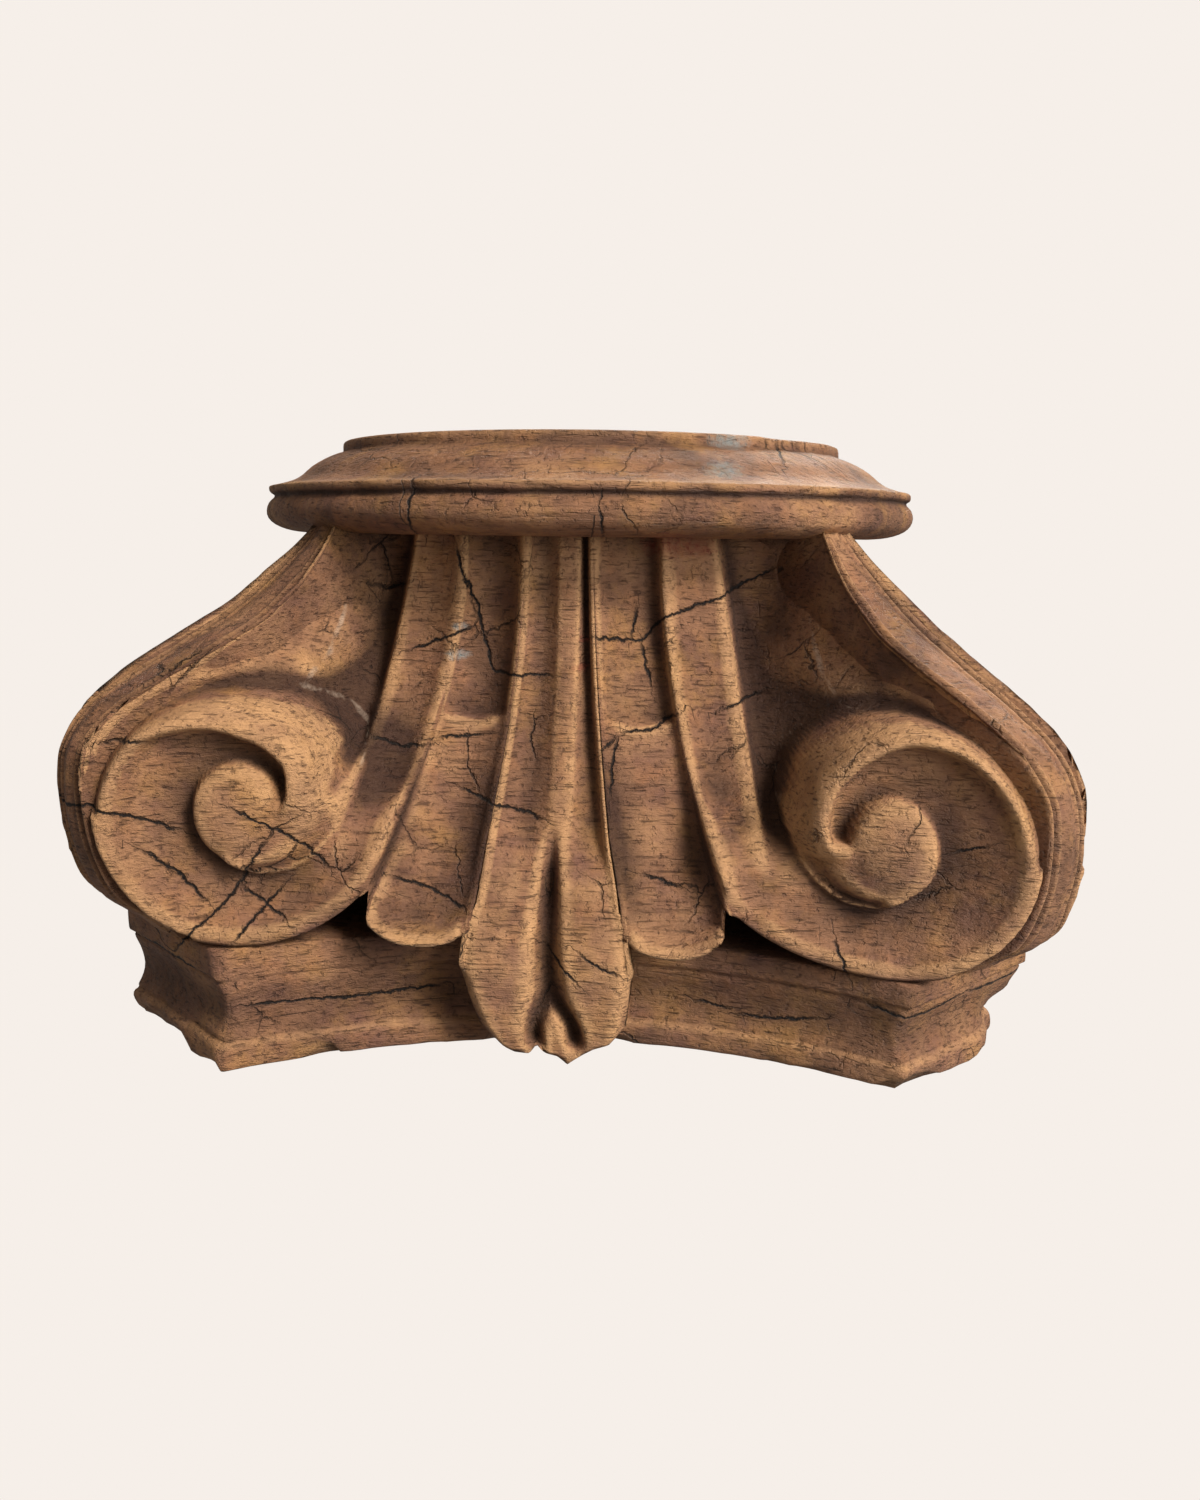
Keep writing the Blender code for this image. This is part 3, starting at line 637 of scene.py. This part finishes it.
def add(tree, kind, links=None, values=None, **settings):
    """Adds a node: settings are its properties, values and links go to its inputs by name or number."""
    node = tree.nodes.new(kind)
    for name, value in settings.items():
        setattr(node, name, value)
    for name, value in (values or {}).items():
        node.inputs[name].default_value = value
    for name, socket in (links or {}).items():
        tree.links.new(socket, node.inputs[name])
    return node


def shade_of(tree, base, colour, share):
    """Base colour going to another as share goes from 0 to 1."""
    both = add(tree, "ShaderNodeMix", {0: share, 6: base}, {7: linear(colour)}, data_type="RGBA")
    return both.outputs[2]


teak = bpy.data.materials.new("weathered_teak")
teak.use_nodes = True
tree = teak.node_tree
tree.nodes.clear()
place = add(tree, "ShaderNodeTexCoord").outputs["Object"]
mark = {name: add(tree, "ShaderNodeAttribute", attribute_name=name).outputs["Fac"] for name in marks}

# broad patches of colour 60 mm across, and blotches 12 mm across
patch = add(tree, "ShaderNodeTexNoise", {"Vector": place}, {"Scale": 17.0, "Detail": 6.0, "Roughness": 0.62}).outputs["Fac"]
blotch = add(tree, "ShaderNodeTexNoise", {"Vector": place}, {"Scale": 85.0, "Detail": 4.0, "Roughness": 0.6}).outputs["Fac"]
base = add(tree, "ShaderNodeValToRGB", {"Fac": patch})
for at, code in ((0.66, "#A67C58"), (0.5, "#8B644A")):
    base.color_ramp.elements.new(at).color = linear(code)
base.color_ramp.elements[0].position = 0.34
base.color_ramp.elements[0].color = linear("#644633")
base.color_ramp.elements[-1].color = linear("#BC9570")

# grain along x: streaks about 80 mm long and 3 mm apart, and short open checks 1 mm apart
stretched = add(tree, "ShaderNodeMapping", {"Vector": place}, {"Scale": (12.0, 230.0, 330.0)}).outputs[0]
grain = add(tree, "ShaderNodeTexNoise", {"Vector": stretched}, {"Scale": 1.0, "Detail": 7.0, "Roughness": 0.68}).outputs["Fac"]
tighter = add(tree, "ShaderNodeMapping", {"Vector": place}, {"Scale": (75.0, 260.0, 820.0)}).outputs[0]
check = add(tree, "ShaderNodeTexNoise", {"Vector": tighter}, {"Scale": 1.0, "Detail": 2.0}).outputs["Fac"]
check = add(tree, "ShaderNodeMapRange", {"Value": check}, {"From Min": 0.58, "From Max": 0.70}).outputs[0]
pit = add(tree, "ShaderNodeTexNoise", {"Vector": place}, {"Scale": 330.0, "Detail": 3.0, "Roughness": 0.7}).outputs["Fac"]
pit_depth = add(tree, "ShaderNodeMapRange", {"Value": pit}, {"From Min": 0.56, "From Max": 0.72}).outputs[0]

# a broken net of hair cracks, cells about 35 mm across
bent = add(tree, "ShaderNodeTexNoise", {"Vector": place}, {"Scale": 60.0, "Detail": 4.0, "Roughness": 0.7})
bent = add(tree, "ShaderNodeVectorMath", {0: bent.outputs["Color"]}, {1: (0.012, 0.012, 0.012)}, operation="MULTIPLY")
bent = add(tree, "ShaderNodeVectorMath", {0: place, 1: bent.outputs[0]}, operation="ADD").outputs[0]
net = add(tree, "ShaderNodeTexVoronoi", {"Vector": bent}, {"Scale": 29.0}, feature="DISTANCE_TO_EDGE").outputs["Distance"]
net = add(tree, "ShaderNodeMapRange", {"Value": net}, {"From Min": 0.020, "From Max": 0.004}).outputs[0]
some = add(tree, "ShaderNodeTexNoise", {"Vector": place}, {"Scale": 24.0, "Detail": 2.0}).outputs["Fac"]
some = add(tree, "ShaderNodeMapRange", {"Value": some}, {"From Min": 0.54, "From Max": 0.66, "To Max": 0.75}).outputs[0]
crack = add(tree, "ShaderNodeMath", {0: net, 1: some}, operation="MULTIPLY").outputs[0]

# the season cracks, each 1 to 2 mm wide and wandering by about a millimetre
waver = add(tree, "ShaderNodeTexNoise", {"Vector": place}, {"Scale": 210.0, "Detail": 4.0, "Roughness": 0.65}).outputs["Fac"]
waver = add(tree, "ShaderNodeMapRange", {"Value": waver}, {"To Min": -2.6, "To Max": 2.6}).outputs[0]
for number in range(len(layers)):
    off = add(tree, "ShaderNodeMath", {0: mark[f"crack_{number}"], 1: waver}, operation="ADD").outputs[0]
    off = add(tree, "ShaderNodeMath", {0: off}, operation="ABSOLUTE").outputs[0]
    split = add(tree, "ShaderNodeMapRange", {"Value": off}, {"From Min": 0.95, "From Max": 0.25}).outputs[0]
    split = add(tree, "ShaderNodeMath", {0: split, 1: mark[f"crack_{number}_here"]}, operation="MULTIPLY").outputs[0]
    crack = add(tree, "ShaderNodeMath", {0: crack, 1: split}, operation="MAXIMUM").outputs[0]

# colour, from the wood up to what lies in it and on it
tone = add(tree, "ShaderNodeTexNoise", {"Vector": place}, {"Scale": 31.0, "Detail": 5.0, "Roughness": 0.65}).outputs["Color"]
tone = add(tree, "ShaderNodeSeparateColor", {"Color": tone})
ochre = add(tree, "ShaderNodeMapRange", {"Value": tone.outputs[0]}, {"From Min": 0.5, "From Max": 0.7, "To Max": 0.7})
purple = add(tree, "ShaderNodeMapRange", {"Value": tone.outputs[1]}, {"From Min": 0.5, "From Max": 0.7, "To Max": 0.65})
streak = add(tree, "ShaderNodeMapRange", {"Value": grain}, {"From Min": 0.48, "From Max": 0.30, "To Max": 0.60}).outputs[0]
mottle = add(tree, "ShaderNodeMapRange", {"Value": blotch}, {"From Min": 0.50, "From Max": 0.72, "To Max": 0.45}).outputs[0]
open_check = add(tree, "ShaderNodeMath", {0: check, 1: tone.outputs[2]}, operation="MULTIPLY").outputs[0]
open_pit = add(tree, "ShaderNodeMath", {0: pit_depth}, {1: 0.55}, operation="MULTIPLY").outputs[0]
colour = shade_of(tree, base.outputs[0], "#A87C48", ochre.outputs[0])
colour = shade_of(tree, colour, "#6A4740", purple.outputs[0])
colour = shade_of(tree, colour, "#523626", streak)
colour = shade_of(tree, colour, "#A3714B", mottle)
# pale orange on the ridges: partly wear, partly a painted highlight where the surface stands above its neighbours
edge_wear_and_highlight = add(tree, "ShaderNodeMath", {0: mark["worn"], 1: blotch}, operation="MULTIPLY", use_clamp=True).outputs[0]
colour = shade_of(tree, colour, "#CDA071", edge_wear_and_highlight)
# painted shade, with some dirt: the deeper a point lies below its neighbours, the nearer black it is painted
shade_and_dirt = add(tree, "ShaderNodeMapRange", {"Value": mark["hollow"]}, {"From Min": 0.05, "From Max": 0.95, "To Max": 0.85})
colour = shade_of(tree, colour, "#2B1710", shade_and_dirt.outputs[0])
colour = shade_of(tree, colour, "#2E1A12", open_check)
colour = shade_of(tree, colour, "#33201A", open_pit)
limed = add(tree, "ShaderNodeMath", {0: mark["lime"], 1: blotch}, operation="MULTIPLY").outputs[0]
limed = add(tree, "ShaderNodeMapRange", {"Value": limed}, {"From Min": 0.34, "From Max": 0.62, "To Max": 0.6}).outputs[0]
colour = shade_of(tree, colour, "#BDAA98", limed)
for name, code in (("blue_paint", "#8FA0A2"), ("red_paint", "#8A3A2C")):
    left_over = add(tree, "ShaderNodeMath", {0: mark[name], 1: pit}, operation="MULTIPLY").outputs[0]
    left_over = add(tree, "ShaderNodeMapRange", {"Value": left_over}, {"From Min": 0.2, "From Max": 0.6, "To Max": 0.6})
    colour = shade_of(tree, colour, code, left_over.outputs[0])
colour = shade_of(tree, colour, "#120A07", crack)

# relief under a millimetre: grain, checks, pits and cracks
fibre = add(tree, "ShaderNodeMapping", {"Vector": place}, {"Scale": (180.0, 700.0, 1000.0)}).outputs[0]
fibre = add(tree, "ShaderNodeTexNoise", {"Vector": fibre}, {"Scale": 1.0, "Detail": 4.0, "Roughness": 0.7}).outputs["Fac"]
height = add(tree, "ShaderNodeMath", {0: grain, 1: blotch}, operation="ADD").outputs[0]
height = add(tree, "ShaderNodeMath", {0: fibre, 2: height}, {1: 0.6}, operation="MULTIPLY_ADD").outputs[0]
for depth_of, much in ((check, -0.35), (pit_depth, -0.35), (crack, -1.3)):
    height = add(tree, "ShaderNodeMath", {0: depth_of, 2: height}, {1: much}, operation="MULTIPLY_ADD").outputs[0]
relief = add(tree, "ShaderNodeBump", {"Height": height}, {"Strength": 1.0, "Distance": 0.0022}).outputs[0]
dull = add(tree, "ShaderNodeMapRange", {"Value": blotch}, {"To Min": 0.5, "To Max": 0.78}).outputs[0]
wood = add(tree, "ShaderNodeBsdfPrincipled", {"Base Color": colour, "Roughness": dull, "Normal": relief},
           {"Specular IOR Level": 0.35})
add(tree, "ShaderNodeOutputMaterial", {"Surface": wood.outputs[0]})
mesh.materials.append(teak)

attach(block, "root")
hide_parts("column_base")

# Floor and backdrop: one pale paper bowl, flat under the block and curving up far away, evenly bright, so that it has
# no horizon. It gives the block no light and takes none away.

share = np.linspace(0, 1, 40)[:, None]
turns = np.linspace(0, 2 * math.pi, 64, endpoint=False)[None, :]
bowl_out = 0.2 + 5.8 * np.sin(math.pi / 2 * np.minimum(share * 1.6, 1.0))
bowl_up = 5.0 * np.clip(share - 0.45, 0, 1) ** 2 / 0.3
bowl = np.stack([bowl_out * np.cos(turns), bowl_out * np.sin(turns), bowl_up + 0 * turns], axis=-1).reshape(-1, 3)
bowl_faces = [tuple(face_) for face_ in grid_faces(40, 64, True)[:, ::-1].tolist()] + [tuple(range(64))]
floor_mesh = bpy.data.meshes.new("paper_floor")
floor_mesh.from_pydata(bowl.tolist(), [], bowl_faces)
floor = bpy.data.objects.new("paper_floor", floor_mesh)
bpy.context.scene.collection.objects.link(floor)
paper = bpy.data.materials.new("pale_paper")
paper.use_nodes = True
tree = paper.node_tree
tree.nodes.clear()
glow = add(tree, "ShaderNodeEmission", values={"Color": linear("#F6EFE9"), "Strength": 1.0})
add(tree, "ShaderNodeOutputMaterial", {"Surface": glow.outputs[0]})
floor_mesh.materials.append(paper)
floor.visible_diffuse = False
floor.visible_glossy = False
floor.visible_shadow = False

# Studio light: a broad soft key from the upper right front, and a low even fill.

world = bpy.data.worlds.new("studio")
world.use_nodes = True
world.node_tree.nodes["Background"].inputs["Color"].default_value = linear("#F3E9E0")
world.node_tree.nodes["Background"].inputs["Strength"].default_value = 0.34
bpy.context.scene.world = world
for name, round_, up_, power, colour in (("key", 50.0, 36.0, 4.4, "#FFF6EA"), ("behind", 168.0, 32.0, 2.2, "#FFF6EA")):
    round_, up_ = math.radians(round_), math.radians(up_)
    toward = mathutils.Vector((math.sin(round_) * math.cos(up_), -math.cos(round_) * math.cos(up_), math.sin(up_)))
    sun = bpy.data.lights.new(name, "SUN")
    sun.energy = power
    sun.angle = math.radians(20.0)
    sun.color = linear(colour)[:3]
    lamp = bpy.data.objects.new(name, sun)
    lamp.rotation_euler = toward.to_track_quat("Z", "Y").to_euler()
    bpy.context.scene.collection.objects.link(lamp)

near_light = bpy.data.lights.new("near", "AREA")
near_light.energy = 7.5
near_light.size = 0.5
near = bpy.data.objects.new("near", near_light)
near.location = (0.75, -0.95, 0.42)
near.rotation_euler = mathutils.Vector((0.65, -0.75, 0.30)).to_track_quat("Z", "Y").to_euler()
bpy.context.scene.collection.objects.link(near)

# The camera stands where the photograph's did: in front, a little above the neck, looking slightly down.

AWAY, SWING, TILT, TWIST, EYE_HIGH, SIDEWAYS = 0.775, 2.28, 9.9, 0.75, 0.2529, 0.00756
swing, tilt, twist = math.radians(SWING), math.radians(TILT), math.radians(TWIST)
ahead = np.array([-math.sin(swing), math.cos(swing), 0.0])
right = np.array([math.cos(swing), math.sin(swing), 0.0])
up = np.array([0.0, 0.0, 1.0])
look = ahead * math.cos(tilt) - up * math.sin(tilt)
top = ahead * math.sin(tilt) + up * math.cos(tilt)
lens = bpy.data.cameras.new("camera")
lens.lens = 30.0
lens.sensor_width = 36.0
camera = bpy.data.objects.new("camera", lens)
bpy.context.scene.collection.objects.link(camera)
sight = np.eye(4)
sight[:3, 0] = right * math.cos(twist) + top * math.sin(twist)
sight[:3, 1] = -right * math.sin(twist) + top * math.cos(twist)
sight[:3, 2] = -look
sight[:3, 3] = -ahead * AWAY + right * SIDEWAYS + up * EYE_HIGH
camera.matrix_world = mathutils.Matrix(sight.tolist())
bpy.context.scene.camera = camera
bpy.context.scene.view_settings.view_transform = "Standard"
